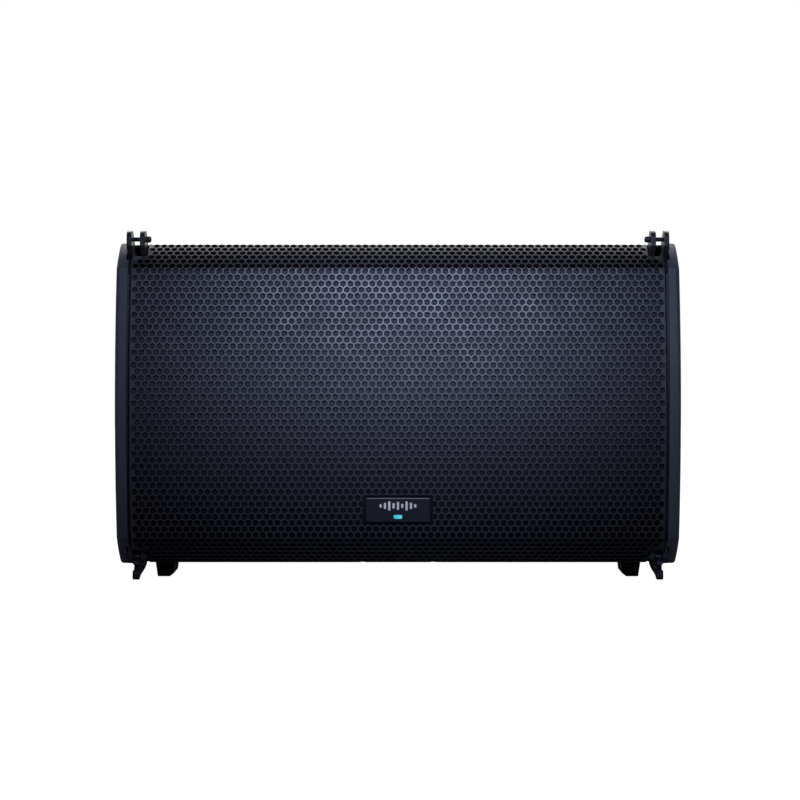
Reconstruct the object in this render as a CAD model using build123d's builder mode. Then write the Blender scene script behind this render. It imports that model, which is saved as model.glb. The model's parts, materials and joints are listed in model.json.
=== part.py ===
"""Powered two-way line array speaker with front pin-and-hook rigging and a rear link arm.

Millimetres. The front faces -Y, +X is the viewer's right and +Z is up. The origin is under
the middle of the box, on the plane that the feet stand on. "Left" is the -X side.
"""

import os
from math import asin, cos, hypot, pi, radians, sin, sqrt, tan

from build123d import *

os.makedirs("parts", exist_ok=True)

# ---------------------------------------------------------------- driving dimensions
# Box, seen from the side
WIDTH = 680.0
DEPTH = 420.0
FOOT_HEIGHT = 20.3
BOX_HEIGHT = 391.4
BOW_RADIUS = 920.0
CREASE_HALF = 163.5
SHOULDER_DEPTH = 49.0
SHOULDER_BULGE = 2.3
WEDGE_ANGLE = 4.5

# Across the width, measured from the middle
BAY_INNER = 304.0
STRIP_INNER = 326.0
GRILLE_HALF = 323.0
INNER_PLATE_X = (307.0, 313.0)
HOOK_X = (314.2, 322.0)
OUTER_PLATE_X = (323.3, 329.1)

# Walls
WALL = 15.0
BAFFLE_T = 15.0
CAP_WALL = 4.0
CAP_ROUND = 4.5
ENCLOSURE_INSET = 0.9
GRILLE_INSET = 0.9
GRILLE_T = 1.5
FOAM_GAP = 2.0
FOAM_T = 5.0
BAFFLE_SET_BACK = 3.0
FLANGE = 12.0
PLATE_INSET = 16.0
CLEAR = 0.3

# Rigging
FORK_PIN_R = 2.75
EAR_R = 10.4
FORK_Z = 415.6
RIGGING_Y = -174.0
HOOK_PIVOT = (-166.0, 28.0)
HOOK_PIVOT_R = 2.5
JAW_Z = 16.8
JAW_GAP = 7.0
BOLT_R = 4.0
BOLT_FIT = 0.1

# Drive units
WOOFER_X = -125.0
WOOFER_R = 152.0
WOOFER_HOLE_R = 141.0
HORN_X = 150.0
HORN_W = 170.0
HORN_H = 320.0
PORT_X = 262.0
PORT_W = 36.0
PORT_H = 272.0

# Rear panel
PANEL_W = 320.0
PANEL_H = 152.0
PANEL_Z = 164.0
PANEL_T = 3.0
LINK_Y = 200.0
LINK_TOP_Z = 362.0
LINK_LOW_Z = 62.0
LINK_HALF_T = 4.0
LINK_HALF_W = 6.5

# Screws shared by the whole cabinet
SCREW_R = 2.0
SCREW_HEAD_R = 4.0
SCREW_HEAD_H = 2.0
SCREW_LENGTH = 12.0
SCREW_FIT = 0.1

# ---------------------------------------------------------------- worked-out places
HALF_W = WIDTH / 2
FRONT_Y = -DEPTH / 2
REAR_Y = DEPTH / 2
MID_Z = FOOT_HEIGHT + BOX_HEIGHT / 2
HALF_H = BOX_HEIGHT / 2
CREASE_Y = FRONT_Y + BOW_RADIUS - sqrt(BOW_RADIUS**2 - CREASE_HALF**2)
SHOULDER_Y = FRONT_Y + SHOULDER_DEPTH
SLOPE = tan(radians(WEDGE_ANGLE))
REAR_HALF = HALF_H - (REAR_Y - SHOULDER_Y) * SLOPE
BAFFLE_FRONT = SHOULDER_Y + BAFFLE_SET_BACK
BAFFLE_BACK = BAFFLE_FRONT + BAFFLE_T
BOX_REAR = 190.0
FLANGE_END = SHOULDER_Y + FLANGE
CAVITY_X = BAY_INNER - WALL
CAVITY_REAR = BOX_REAR - WALL
WOOFER_AXIS = Axis((WOOFER_X, 0, MID_Z), (0, 1, 0))
BEYOND = 600.0


def bow_y(z):
    """Y of the front face at height z."""
    return FRONT_Y + BOW_RADIUS - sqrt(BOW_RADIUS**2 - (z - MID_Z) ** 2)


def top_z(y, inset=0.0):
    """Height of the sloping top at depth y, drawn inwards by inset."""
    return MID_Z + HALF_H - (y - SHOULDER_Y) * SLOPE - inset / cos(radians(WEDGE_ANGLE))


def bottom_z(y, inset=0.0):
    """Height of the sloping bottom at depth y, drawn inwards by inset."""
    return 2 * MID_Z - top_z(y, inset)


def outline(inset=0.0):
    """The box's side view, Y across and Z up, drawn inwards by inset."""
    crease_top = (CREASE_Y, MID_Z + CREASE_HALF)
    crease_low = (CREASE_Y, MID_Z - CREASE_HALF)
    end_top = (SHOULDER_Y, MID_Z + HALF_H)
    end_low = (SHOULDER_Y, MID_Z - HALF_H)
    run = SHOULDER_Y - CREASE_Y
    rise = HALF_H - CREASE_HALF
    chord = hypot(run, rise)
    mid_y = (CREASE_Y + SHOULDER_Y) / 2 - SHOULDER_BULGE * rise / chord
    mid_rise = (CREASE_HALF + HALF_H) / 2 + SHOULDER_BULGE * run / chord
    with BuildSketch() as view:
        with BuildLine():
            ThreePointArc(crease_low, (FRONT_Y, MID_Z), crease_top)
            ThreePointArc(crease_top, (mid_y, MID_Z + mid_rise), end_top)
            Line(end_top, (REAR_Y, MID_Z + REAR_HALF))
            Line((REAR_Y, MID_Z + REAR_HALF), (REAR_Y, MID_Z - REAR_HALF))
            Line((REAR_Y, MID_Z - REAR_HALF), end_low)
            ThreePointArc(end_low, (mid_y, MID_Z - mid_rise), crease_low)
        make_face()
        if inset > 0:
            offset(amount=-inset, kind=Kind.INTERSECTION)
    return view.sketch


def slice_of(face, y_low, y_high):
    """The part of a side-view face between two depths."""
    with BuildSketch() as strip:
        add(face)
        with Locations(((y_low + y_high) / 2, MID_Z)):
            Rectangle(y_high - y_low, BEYOND, mode=Mode.INTERSECT)
    return strip.sketch


def block(x_range, y_range, z_range, mode=Mode.ADD):
    """A box between two values along each axis, in the part being built."""
    size = [high - low for low, high in (x_range, y_range, z_range)]
    centre = [(low + high) / 2 for low, high in (x_range, y_range, z_range)]
    with Locations(tuple(centre)):
        Box(*size, mode=mode)


def rod(start, direction, radius, length, mode=Mode.ADD):
    """A round bar from a point along a direction, in the part being built."""
    with Locations(Plane(origin=start, z_dir=direction)):
        Cylinder(radius, length, align=(Align.CENTER, Align.CENTER, Align.MIN), mode=mode)


def export_pair(right_part, name):
    """Write a right-hand piece and its mirror image on the left."""
    right_part.label = f"{name}_right"
    export_step(right_part, f"parts/{name}_right.step")
    left_part = mirror(right_part, about=Plane.YZ)
    left_part.label = f"{name}_left"
    export_step(left_part, f"parts/{name}_left.step")


# ---------------------------------------------------------------- screw places
# Each place is the point under the head and the direction that the head faces.
REAR = (0, 1, 0)
FRONT = (0, -1, 0)
CAP_SCREW_YZ = [(-120, 350), (-120, 82), (60, 345), (60, 87), (185, 330), (185, 102)]
PANEL_SCREW_X = (-152.0, -50.0, 50.0, 152.0)
PANEL_SCREW_DZ = PANEL_H / 2 - 6
WOOFER_SCREW_R = 146.0
WOOFER_SCREWS = 8
HORN_SCREW_DX = HORN_W / 2 - 6
HORN_SCREW_DZ = (-145.0, -50.0, 50.0, 145.0)
FRAME_T = 6.0
GRILLE_SCREW_X = (-240.0, -80.0, 80.0, 240.0)
BRACKET_SCREW_X = 17.0
FRONT_FOOT_Y = -100.0
REAR_FOOT_Y = 150.0
FOOT_LENGTH = 40.0

woofer_screw_places = [
    (
        WOOFER_X + WOOFER_SCREW_R * cos(2 * pi * (n + 0.5) / WOOFER_SCREWS),
        BAFFLE_FRONT - FRAME_T,
        MID_Z + WOOFER_SCREW_R * sin(2 * pi * (n + 0.5) / WOOFER_SCREWS),
    )
    for n in range(WOOFER_SCREWS)
]
horn_screw_places = [
    (HORN_X + side * HORN_SCREW_DX, BAFFLE_FRONT - FRAME_T, MID_Z + dz)
    for side in (-1, 1)
    for dz in HORN_SCREW_DZ
]
panel_screw_places = [
    (x, BOX_REAR + PANEL_T, PANEL_Z + side * PANEL_SCREW_DZ)
    for x in PANEL_SCREW_X
    for side in (-1, 1)
]
bracket_screw_places = [
    (side * BRACKET_SCREW_X, BOX_REAR + PANEL_T, z)
    for side in (-1, 1)
    for z in (LINK_LOW_Z - 10, LINK_LOW_Z + 10, LINK_TOP_Z - 10, LINK_TOP_Z + 10)
]
CAP_SCREW_X = HALF_W - SCREW_HEAD_H
cap_screw_places = [(side * CAP_SCREW_X, y, z) for side in (-1, 1) for y, z in CAP_SCREW_YZ]


GRILLE_SCREW_Y = SHOULDER_Y + 6
GRILLE_SCREW_SINK = SCREW_HEAD_H + 0.1
GRILLE_SCREW_Z = bottom_z(GRILLE_SCREW_Y, GRILLE_INSET + GRILLE_SCREW_SINK)
UP = (0, SLOPE, 1)
DOWN = (0, SLOPE, -1)
grille_top_places = [(x, GRILLE_SCREW_Y, 2 * MID_Z - GRILLE_SCREW_Z) for x in GRILLE_SCREW_X]
grille_low_places = [(x, GRILLE_SCREW_Y, GRILLE_SCREW_Z) for x in GRILLE_SCREW_X]

# Rigging bolts clamp both plates to the box side, with tubes between the plates
BOLT_YZ = [(-100, 322), (-100, 110), (110, 322), (110, 110)]
BOLT_START_X = 292.0
SPACER_R = 7.0
SPRING_Y = -125.0
SPRING_SEAT_Z = 50.0
SPRING_BAR_R = 3.0


def bolt_holes(low_x, high_x):
    """Clear the rigging bolt holes between two distances from the middle, on both sides."""
    for side in (-1, 1):
        for y, z in BOLT_YZ:
            start = (side * low_x, y, z)
            rod(start, (side, 0, 0), BOLT_R + BOLT_FIT, high_x - low_x, mode=Mode.SUBTRACT)


def screw_holes(places, facing, length=SCREW_LENGTH):
    """Clear the holes that a row of screws runs in, and room for their heads."""
    inwards = tuple(-part for part in facing)
    for place in places:
        rod(place, facing, SCREW_HEAD_R + SCREW_FIT, SCREW_HEAD_H + 1, mode=Mode.SUBTRACT)
        rod(place, inwards, SCREW_R + SCREW_FIT, length + SCREW_FIT, mode=Mode.SUBTRACT)


# ---------------------------------------------------------------- wooden enclosure
with BuildPart() as enclosure_shell:
    with BuildSketch(Plane.YZ):
        add(slice_of(outline(ENCLOSURE_INSET), FLANGE_END, BOX_REAR))
        add(slice_of(outline(ENCLOSURE_INSET + GRILLE_T + CLEAR), BAFFLE_FRONT, FLANGE_END))
    extrude(amount=BAY_INNER, both=True)
    with BuildSketch(Plane.YZ):
        add(slice_of(outline(ENCLOSURE_INSET + WALL), BAFFLE_FRONT - 1, CAVITY_REAR))
    extrude(amount=CAVITY_X, both=True, mode=Mode.SUBTRACT)
    block(
        (-PANEL_W / 2 + 12, PANEL_W / 2 - 12),
        (CAVITY_REAR - 1, BOX_REAR + 1),
        (PANEL_Z - PANEL_H / 2 + 12, PANEL_Z + PANEL_H / 2 - 12),
        mode=Mode.SUBTRACT,
    )
    screw_holes(panel_screw_places, REAR)
    screw_holes(bracket_screw_places, REAR)
    screw_holes(grille_top_places, UP)
    screw_holes(grille_low_places, DOWN)
    bolt_holes(BOLT_START_X - 0.1, BAY_INNER + 1)
    # Foot pockets in the top let the feet of the next box down between the forks
    POCKET_DEPTH = 10.8
    POCKET_X = (270.0, BAY_INNER + 1)
    for side in (-1, 1):
        block(
            sorted((side * POCKET_X[0], side * POCKET_X[1])),
            (FRONT_FOOT_Y - 24, FRONT_FOOT_Y + 24),
            (top_z(FRONT_FOOT_Y - 24, ENCLOSURE_INSET) - POCKET_DEPTH, BOX_HEIGHT + 2 * FOOT_HEIGHT),
            mode=Mode.SUBTRACT,
        )
    FOOT_SCREW_X = 280.0
    foot_screw_places = [
        (side * FOOT_SCREW_X, y, bottom_z(y, ENCLOSURE_INSET) - 6)
        for side in (-1, 1)
        for y in (FRONT_FOOT_Y, REAR_FOOT_Y)
    ]
    screw_holes(foot_screw_places, (0, 0, -1), length=16)
enclosure_shell.part.label = "enclosure_shell"
export_step(enclosure_shell.part, "parts/enclosure_shell.step")

with BuildPart() as front_baffle:
    with BuildSketch(Plane.YZ):
        add(slice_of(outline(ENCLOSURE_INSET + WALL), BAFFLE_FRONT, BAFFLE_BACK))
    extrude(amount=CAVITY_X, both=True)
    rod((WOOFER_X, BAFFLE_FRONT - 1, MID_Z), REAR, WOOFER_HOLE_R, BAFFLE_T + 2, mode=Mode.SUBTRACT)
    block(
        (HORN_X - HORN_W / 2 + 9, HORN_X + HORN_W / 2 - 9),
        (BAFFLE_FRONT - 1, BAFFLE_BACK + 1),
        (MID_Z - HORN_H / 2 + 9, MID_Z + HORN_H / 2 - 9),
        mode=Mode.SUBTRACT,
    )
    block(
        (PORT_X - PORT_W / 2, PORT_X + PORT_W / 2),
        (BAFFLE_FRONT - 1, BAFFLE_BACK + 1),
        (MID_Z - PORT_H / 2, MID_Z + PORT_H / 2),
        mode=Mode.SUBTRACT,
    )
    screw_holes(woofer_screw_places, FRONT)
    screw_holes(horn_screw_places, FRONT)
front_baffle.part.label = "front_baffle"
export_step(front_baffle.part, "parts/front_baffle.step")

PORT_LENGTH = 138.0
PORT_WALL = 4.0
with BuildPart() as port_duct:
    block(
        (PORT_X - PORT_W / 2, PORT_X + PORT_W / 2),
        (BAFFLE_FRONT, BAFFLE_FRONT + PORT_LENGTH),
        (MID_Z - PORT_H / 2, MID_Z + PORT_H / 2),
    )
    ends = port_duct.faces().group_by(Axis.Y)
    offset(amount=-PORT_WALL, openings=[ends[0][0], ends[-1][0]])
port_duct.part.label = "port_duct"
export_step(port_duct.part, "parts/port_duct.step")

BRACE_X = (38.0, 50.0)
BRACE_REAR = 90.0
with BuildPart() as internal_brace:
    with BuildSketch(Plane.YZ.offset(BRACE_X[0])):
        add(slice_of(outline(ENCLOSURE_INSET + WALL), BAFFLE_BACK, BRACE_REAR))
        with Locations(((BAFFLE_BACK + BRACE_REAR) / 2, MID_Z)):
            RectangleRounded(150, 240, 40, mode=Mode.SUBTRACT)
    extrude(amount=BRACE_X[1] - BRACE_X[0])
internal_brace.part.label = "internal_brace"
export_step(internal_brace.part, "parts/internal_brace.step")

LINING_T = 12.0
with BuildPart() as damping_lining:
    for low_x in (-CAVITY_X + 2, CAVITY_X - 2 - LINING_T):
        with BuildSketch(Plane.YZ.offset(low_x)):
            add(slice_of(outline(ENCLOSURE_INSET + WALL + 4), 0, CAVITY_REAR - 4))
        extrude(amount=LINING_T)
    block((-260, 260), (CAVITY_REAR - LINING_T, CAVITY_REAR - 1), (255, 345))
damping_lining.part.label = "damping_lining"
export_step(damping_lining.part, "parts/damping_lining.step")

# ---------------------------------------------------------------- grille and badge
NOTCH_TOP_Z = 394.6
NOTCH_LOW_Z = 2 * MID_Z - NOTCH_TOP_Z
FOAM_NOTCH_TOP_Z = 386.0
SIDE_FLANGE = 12.0


def corner_notches(top_edge_z, inner_x):
    """Cut the four corners away, where the forks and hooks stand."""
    for side in (-1, 1):
        for low, high in ((top_edge_z, BEYOND), (-BEYOND, 2 * MID_Z - top_edge_z)):
            xs = sorted((side * inner_x, side * BEYOND))
            block(xs, (FRONT_Y - 5, 0), (low, high), mode=Mode.SUBTRACT)


with BuildPart() as grille:
    with BuildSketch(Plane.YZ):
        add(slice_of(outline(GRILLE_INSET), FRONT_Y, FLANGE_END))
        add(outline(GRILLE_INSET + GRILLE_T), mode=Mode.SUBTRACT)
    extrude(amount=GRILLE_HALF, both=True)
    for low_x in (-GRILLE_HALF, GRILLE_HALF - GRILLE_T):
        with BuildSketch(Plane.YZ.offset(low_x)):
            add(slice_of(outline(GRILLE_INSET), FRONT_Y, BAFFLE_FRONT))
            add(outline(GRILLE_INSET + SIDE_FLANGE), mode=Mode.SUBTRACT)
        extrude(amount=GRILLE_T)
    corner_notches(NOTCH_TOP_Z, BAY_INNER)
    screw_holes(grille_top_places, UP)
    screw_holes(grille_low_places, DOWN)
grille.part.label = "grille"
export_step(grille.part, "parts/grille.step")

BADGE_Z = 88.3
BADGE_W = 77.6
BADGE_H = 30.8
BADGE_T = 2.6
LENS_W = 10.0
LENS_H = 4.6
LENS_DROP = 8.6
badge_tilt = asin((MID_Z - BADGE_Z) / BOW_RADIUS)
badge_normal = (0, -cos(badge_tilt), -sin(badge_tilt))
badge_plane = Plane(
    origin=(0, bow_y(BADGE_Z) + GRILLE_INSET / cos(badge_tilt) - 0.05, BADGE_Z),
    x_dir=(1, 0, 0),
    z_dir=badge_normal,
)

with BuildPart() as grille_foam:
    with BuildSketch(Plane.YZ):
        add(slice_of(outline(GRILLE_INSET + GRILLE_T + FOAM_GAP), FRONT_Y, BAFFLE_FRONT - CLEAR))
        add(outline(GRILLE_INSET + GRILLE_T + FOAM_GAP + FOAM_T), mode=Mode.SUBTRACT)
    extrude(amount=GRILLE_HALF - GRILLE_T - CLEAR, both=True)
    corner_notches(FOAM_NOTCH_TOP_Z, BAY_INNER - 1)
    with BuildSketch(badge_plane):
        with Locations((0, -LENS_DROP)):
            Rectangle(36, 16)
    extrude(amount=-20, mode=Mode.SUBTRACT)
grille_foam.part.label = "grille_foam"
export_step(grille_foam.part, "parts/grille_foam.step")

with BuildPart() as badge_plate:
    with BuildSketch(badge_plane):
        RectangleRounded(BADGE_W, BADGE_H, 2)
        with Locations((0, -LENS_DROP)):
            RectangleRounded(LENS_W + 0.2, LENS_H + 0.2, 1.1, mode=Mode.SUBTRACT)
    extrude(amount=BADGE_T)
    outer_face = badge_plate.faces().filter_by(lambda f: f.normal_at().dot(Vector(*badge_normal)) > 0.99)
    chamfer(outer_face.sort_by(Axis.Y)[0].outer_wire().edges(), 0.7)
badge_plate.part.label = "badge_plate"
export_step(badge_plate.part, "parts/badge_plate.step")

with BuildPart() as badge_lens:
    with BuildSketch(badge_plane):
        with Locations((0, -LENS_DROP)):
            RectangleRounded(LENS_W, LENS_H, 1)
    extrude(amount=BADGE_T + 0.3)
badge_lens.part.label = "badge_lens"
export_step(badge_lens.part, "parts/badge_lens.step")

LED_BACK = GRILLE_T + 2.4
with BuildPart() as led_board:
    with BuildSketch(badge_plane.offset(-LED_BACK)):
        with Locations((0, -LENS_DROP)):
            Rectangle(30, 12)
    extrude(amount=-1.6)
    with BuildSketch(badge_plane.offset(-LED_BACK)):
        with Locations((-3, -LENS_DROP), (3, -LENS_DROP)):
            Rectangle(3, 2)
    extrude(amount=1)
led_board.part.label = "led_board"
export_step(led_board.part, "parts/led_board.step")

# ---------------------------------------------------------------- end caps and handle cups
CUP_Y = (-80.0, 80.0)
CUP_Z = (MID_Z - 32, MID_Z + 36)
CUP_FLOOR_X = 306.0
CUP_WALL = 3.0
CUP_CORNER = 14.0
LIP_Z = MID_Z + 20
cup_centre = ((CUP_Y[0] + CUP_Y[1]) / 2, (CUP_Z[0] + CUP_Z[1]) / 2)
cup_size = (CUP_Y[1] - CUP_Y[0], CUP_Z[1] - CUP_Z[0])


def cup_opening(grow):
    """Outline of the handle cup, grown all round."""
    with BuildSketch() as view:
        with Locations(cup_centre):
            RectangleRounded(cup_size[0] + 2 * grow, cup_size[1] + 2 * grow, CUP_CORNER + grow)
    return view.sketch


EAR_SLOT = ((OUTER_PLATE_X[0] - CLEAR, OUTER_PLATE_X[1] + CLEAR), (-187.0, FLANGE_END))
TAIL_SLOT = ((HOOK_X[0] - 0.7, HOOK_X[1] + 0.7), (FLANGE_END - 1, -94.0))

with BuildPart() as end_cap:
    with BuildSketch(Plane.YZ.offset(BAY_INNER + CLEAR)):
        add(outline())
    extrude(amount=HALF_W - BAY_INNER - CLEAR)
    fillet(end_cap.edges().filter_by(Axis.X).group_by(Axis.Y)[-1], 12)
    fillet(end_cap.faces().sort_by(Axis.X)[-1].outer_wire().edges(), CAP_ROUND)
    with BuildSketch(Plane.YZ.offset(BAY_INNER)):
        add(outline(CAP_WALL))
    extrude(amount=HALF_W - CAP_WALL - BAY_INNER, mode=Mode.SUBTRACT)
    block((BAY_INNER - 1, STRIP_INNER), (FRONT_Y - 1, FLANGE_END), (0, BEYOND), mode=Mode.SUBTRACT)
    block(*EAR_SLOT, (FORK_Z - 40, FORK_Z), mode=Mode.SUBTRACT)
    block((OUTER_PLATE_X[0] - 1, OUTER_PLATE_X[1] + CLEAR), (-187, FLANGE_END), (10, 48), mode=Mode.SUBTRACT)
    block(*TAIL_SLOT, (10, 48), mode=Mode.SUBTRACT)
    with BuildSketch(Plane.YZ.offset(HALF_W - CAP_WALL - 1)):
        add(cup_opening(0))
    extrude(amount=CAP_WALL + 2, mode=Mode.SUBTRACT)
    for y, z in CAP_SCREW_YZ:
        rod((HALF_W + 1, y, z), (-1, 0, 0), SCREW_HEAD_R + SCREW_FIT, SCREW_HEAD_H + 1, mode=Mode.SUBTRACT)
        rod((HALF_W + 1, y, z), (-1, 0, 0), SCREW_R + SCREW_FIT, CAP_WALL + 2, mode=Mode.SUBTRACT)
export_pair(end_cap.part, "end_cap")

with BuildPart() as handle_cup:
    with BuildSketch(Plane.YZ.offset(CUP_FLOOR_X)):
        add(cup_opening(-0.1))
    extrude(amount=HALF_W - CUP_FLOOR_X - 0.5)
    with BuildSketch(Plane.YZ.offset(CUP_FLOOR_X + CUP_WALL)):
        add(cup_opening(-CUP_WALL))
    extrude(amount=HALF_W - CAP_WALL - CUP_FLOOR_X - CUP_WALL, mode=Mode.SUBTRACT)
    with BuildSketch(Plane.YZ.offset(HALF_W - CAP_WALL - 1)):
        add(cup_opening(-CUP_WALL))
        with Locations((cup_centre[0], LIP_Z + 50)):
            Rectangle(BEYOND, 100, mode=Mode.SUBTRACT)
    extrude(amount=CAP_WALL + 2, mode=Mode.SUBTRACT)
export_pair(handle_cup.part, "handle_cup")

# ---------------------------------------------------------------- front rigging
EAR_FRONT_Y = RIGGING_Y - EAR_R
LUG_R = 7.5


def plate_profile():
    """Side view of a rigging plate: fork ear on top, hook lug below, window for the cup."""
    pivot_y, pivot_z = HOOK_PIVOT
    with BuildSketch() as view:
        add(outline(PLATE_INSET))
        with Locations((RIGGING_Y, FORK_Z)):
            Circle(EAR_R)
        with BuildLine():
            Polyline(
                (EAR_FRONT_Y, FORK_Z),
                (EAR_FRONT_Y, 407),
                (-165, 388),
                (-128, 391),
                (-150.2, 404),
                (-152, 411),
                (-160.5, 419.5),
                (-168, FORK_Z + EAR_R),
                (RIGGING_Y, FORK_Z + EAR_R),
                close=True,
            )
        make_face()
        with Locations(HOOK_PIVOT):
            Circle(LUG_R)
        with BuildLine():
            Polyline(
                (pivot_y - LUG_R, pivot_z),
                (pivot_y - 6, 54),
                (-145, 48),
                (pivot_y + LUG_R, pivot_z),
                close=True,
            )
        make_face()
        add(cup_opening(1), mode=Mode.SUBTRACT)
        with Locations((RIGGING_Y, FORK_Z)):
            Circle(FORK_PIN_R + 0.05, mode=Mode.SUBTRACT)
        with Locations(HOOK_PIVOT):
            Circle(HOOK_PIVOT_R + 0.05, mode=Mode.SUBTRACT)
        with Locations(*BOLT_YZ):
            Circle(BOLT_R + BOLT_FIT, mode=Mode.SUBTRACT)
        with Locations((SPRING_Y, SPRING_SEAT_Z + SPRING_BAR_R)):
            Circle(1.6, mode=Mode.SUBTRACT)
    return view.sketch


with BuildPart() as inner_plate:
    with BuildSketch(Plane.YZ.offset(INNER_PLATE_X[0])):
        add(plate_profile())
    extrude(amount=INNER_PLATE_X[1] - INNER_PLATE_X[0])
export_pair(inner_plate.part, "rigging_plate_inner")

with BuildPart() as outer_plate:
    with BuildSketch(Plane.YZ.offset(OUTER_PLATE_X[0])):
        add(plate_profile())
    extrude(amount=OUTER_PLATE_X[1] - OUTER_PLATE_X[0])
    for y, z in CAP_SCREW_YZ:
        start = (OUTER_PLATE_X[0] - 1, y, z)
        rod(start, (1, 0, 0), SCREW_R + SCREW_FIT, 8, mode=Mode.SUBTRACT)
export_pair(outer_plate.part, "rigging_plate_outer")

with BuildPart() as rigging_bolts:
    for side in (-1, 1):
        outwards = (side, 0, 0)
        for y, z in BOLT_YZ:
            rod((side * BOLT_START_X, y, z), outwards, BOLT_R, OUTER_PLATE_X[1] - BOLT_START_X)
            with BuildSketch(Plane(origin=(side * OUTER_PLATE_X[1], y, z), z_dir=outwards)):
                RegularPolygon(6.5, 6)
            extrude(amount=4)
            for low_x, high_x in (
                (BAY_INNER, INNER_PLATE_X[0]),
                (INNER_PLATE_X[1], OUTER_PLATE_X[0]),
            ):
                rod((side * low_x, y, z), outwards, SPACER_R, high_x - low_x)
        bar = (side * INNER_PLATE_X[0], SPRING_Y, SPRING_SEAT_Z + SPRING_BAR_R)
        rod(bar, outwards, 1.5, OUTER_PLATE_X[1] - INNER_PLATE_X[0])
        bar = (side * INNER_PLATE_X[1], SPRING_Y, SPRING_SEAT_Z + SPRING_BAR_R)
        rod(bar, outwards, SPRING_BAR_R, OUTER_PLATE_X[0] - INNER_PLATE_X[1])
rigging_bolts.part.label = "rigging_bolts"
export_step(rigging_bolts.part, "parts/rigging_bolts.step")


def rigging_pins(centre, radius, head_start_x, head_r):
    """Cross pins of both sides, with a domed head towards the middle of the box."""
    with BuildPart() as pins:
        for side in (-1, 1):
            start = (side * INNER_PLATE_X[0], *centre)
            rod(start, (side, 0, 0), radius, OUTER_PLATE_X[1] - INNER_PLATE_X[0] + 0.2)
            rod(start, (-side, 0, 0), head_r, INNER_PLATE_X[0] - head_start_x)
        head_rims = pins.edges().filter_by(GeomType.CIRCLE).group_by(lambda e: abs(e.center().X))
        fillet(head_rims[0], 0.6 * min(head_r, INNER_PLATE_X[0] - head_start_x))
    return pins.part


fork_pins = rigging_pins((RIGGING_Y, FORK_Z), FORK_PIN_R, 300.2, 3.9)
fork_pins.label = "fork_pins"
export_step(fork_pins, "parts/fork_pins.step")

hook_pivot_pins = rigging_pins(HOOK_PIVOT, HOOK_PIVOT_R, 304.8, 3.5)
hook_pivot_pins.label = "hook_pivot_pins"
export_step(hook_pivot_pins, "parts/hook_pivot_pins.step")

HOOK_TOP_Z = 20.5
HOOK_BOSS_R = 6.2
with BuildPart() as hook:
    with BuildSketch(Plane.YZ.offset(HOOK_X[0])):
        with BuildLine():
            Polyline(
                (-181.5, 24.5),
                (-183.5, 14),
                (-184.5, 5),
                (-182, 2),
                (-176, 2.6),
                (-164, 6.5),
                (-128, 11),
                (-111, 15.5),
                (-105.5, HOOK_TOP_Z),
                (-156, HOOK_TOP_Z),
                (-159.8, 28),
                (-172.2, 29),
                close=True,
            )
        make_face()
        with Locations(HOOK_PIVOT):
            Circle(HOOK_BOSS_R)
            Circle(HOOK_PIVOT_R + 0.06, mode=Mode.SUBTRACT)
        with Locations((RIGGING_Y, JAW_Z)):
            Circle(JAW_GAP / 2, mode=Mode.SUBTRACT)
        with Locations((RIGGING_Y - 10, JAW_Z)):
            Rectangle(20, JAW_GAP, mode=Mode.SUBTRACT)
        with Locations((-150, 14.2)):
            Circle(2.5, mode=Mode.SUBTRACT)
    extrude(amount=HOOK_X[1] - HOOK_X[0])
    flat_sides = hook.faces().filter_by(Axis.X)
    chamfer(flat_sides.group_by(Axis.X)[-1][0].outer_wire().edges(), 0.8)
export_pair(hook.part, "hook")

SPRING_R = 3.0
SPRING_WIRE_R = 0.45
SPRING_TURNS = 8
spring_height = SPRING_SEAT_Z - HOOK_TOP_Z - 2 * SPRING_WIRE_R - 0.4
spring_start = ((HOOK_X[0] + HOOK_X[1]) / 2, SPRING_Y, HOOK_TOP_Z + SPRING_WIRE_R + 0.2)
with BuildPart() as hook_spring:
    with BuildLine() as coil:
        Helix(spring_height / SPRING_TURNS, spring_height, SPRING_R, center=spring_start)
    with BuildSketch(Plane(origin=coil.line @ 0, z_dir=coil.line % 0)):
        Circle(SPRING_WIRE_R)
    sweep(is_frenet=True)
export_pair(hook_spring.part, "hook_spring")

# ---------------------------------------------------------------- feet


def feet(middle_y, top_edge_z):
    """A pair of moulded feet under the sloping bottom, each with its screw recess."""
    with BuildPart() as pair:
        for side in (-1, 1):
            with BuildSketch(Plane.XZ.offset(-middle_y - FOOT_LENGTH / 2)):
                with BuildLine():
                    Polyline(
                        (side * 277.6, top_edge_z + 12),
                        (side * 303.2, top_edge_z + 12),
                        (side * 303.2, top_edge_z),
                        (side * 299.6, 0),
                        (side * 284.5, 0),
                        (side * 279.0, 6.6),
                        (side * 277.6, top_edge_z),
                        close=True,
                    )
                make_face()
            extrude(amount=FOOT_LENGTH)
        fillet(pair.faces().filter_by(Axis.Z).group_by(Axis.Z)[0].edges(), 1.2)
        with BuildSketch(Plane.YZ):
            add(outline(ENCLOSURE_INSET))
        extrude(amount=BAY_INNER + 1, both=True, mode=Mode.SUBTRACT)
        for side in (-1, 1):
            under_head = (side * FOOT_SCREW_X, middle_y, bottom_z(middle_y, ENCLOSURE_INSET) - 6)
            rod(under_head, (0, 0, -1), SCREW_HEAD_R + 0.3, BEYOND, mode=Mode.SUBTRACT)
            rod(under_head, (0, 0, 1), SCREW_R + SCREW_FIT, 20, mode=Mode.SUBTRACT)
    return pair.part


front_feet = feet(FRONT_FOOT_Y, 24)
front_feet.label = "front_feet"
export_step(front_feet, "parts/front_feet.step")

rear_feet = feet(REAR_FOOT_Y, 44)
rear_feet.label = "rear_feet"
export_step(rear_feet, "parts/rear_feet.step")

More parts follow.
